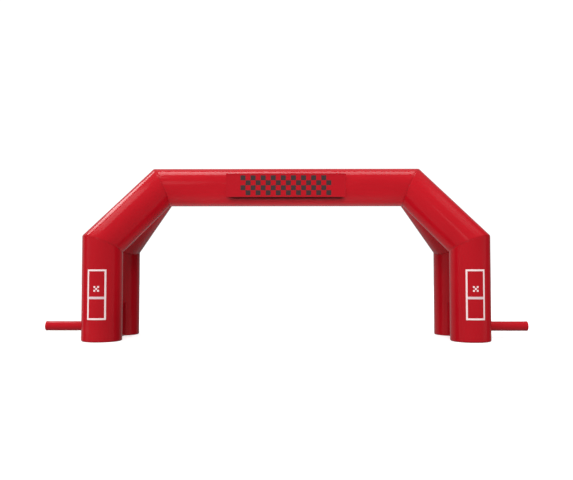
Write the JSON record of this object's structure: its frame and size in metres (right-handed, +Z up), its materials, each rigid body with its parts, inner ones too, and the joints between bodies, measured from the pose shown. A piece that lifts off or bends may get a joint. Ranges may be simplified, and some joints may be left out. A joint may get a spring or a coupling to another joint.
{
  "type": "inflatable arch",
  "caption": "Free-standing air-filled gateway arch with a level header tube, splayed haunches, round legs, open blower sleeves and a flat header banner.",
  "frame": {"origin": "on the floor, midway between the four feet", "axes": "+Z up, +X across the gateway from the left legs to the right legs, -Y the front, which carries the banner and the bordered panels"},
  "size_m": [9.435, 2.0553, 3.3248],
  "materials": {
    "red_skin": "glossy coated cloth, taut with air",
    "red_banner": "satin coated cloth with a dark printed chequer",
    "white_tape": "matt white tape",
    "grey_tape": "matt pale grey tape"
  },
  "bodies": {
    "root": {"header_tube": "red_skin", "haunch_front_left": "red_skin", "haunch_front_right": "red_skin", "haunch_rear_left": "red_skin", "haunch_rear_right": "red_skin", "leg_front_left": "red_skin", "leg_front_right": "red_skin", "leg_rear_left": "red_skin", "leg_rear_right": "red_skin", "bridge_left": "red_skin", "bridge_right": "red_skin", "blower_sleeve_left": "red_skin", "blower_sleeve_right": "red_skin", "header_banner": "red_banner", "panel_border_left": "white_tape", "panel_border_right": "white_tape", "panel_bar_left": "grey_tape", "panel_bar_right": "grey_tape"}
  },
  "joints": []
}
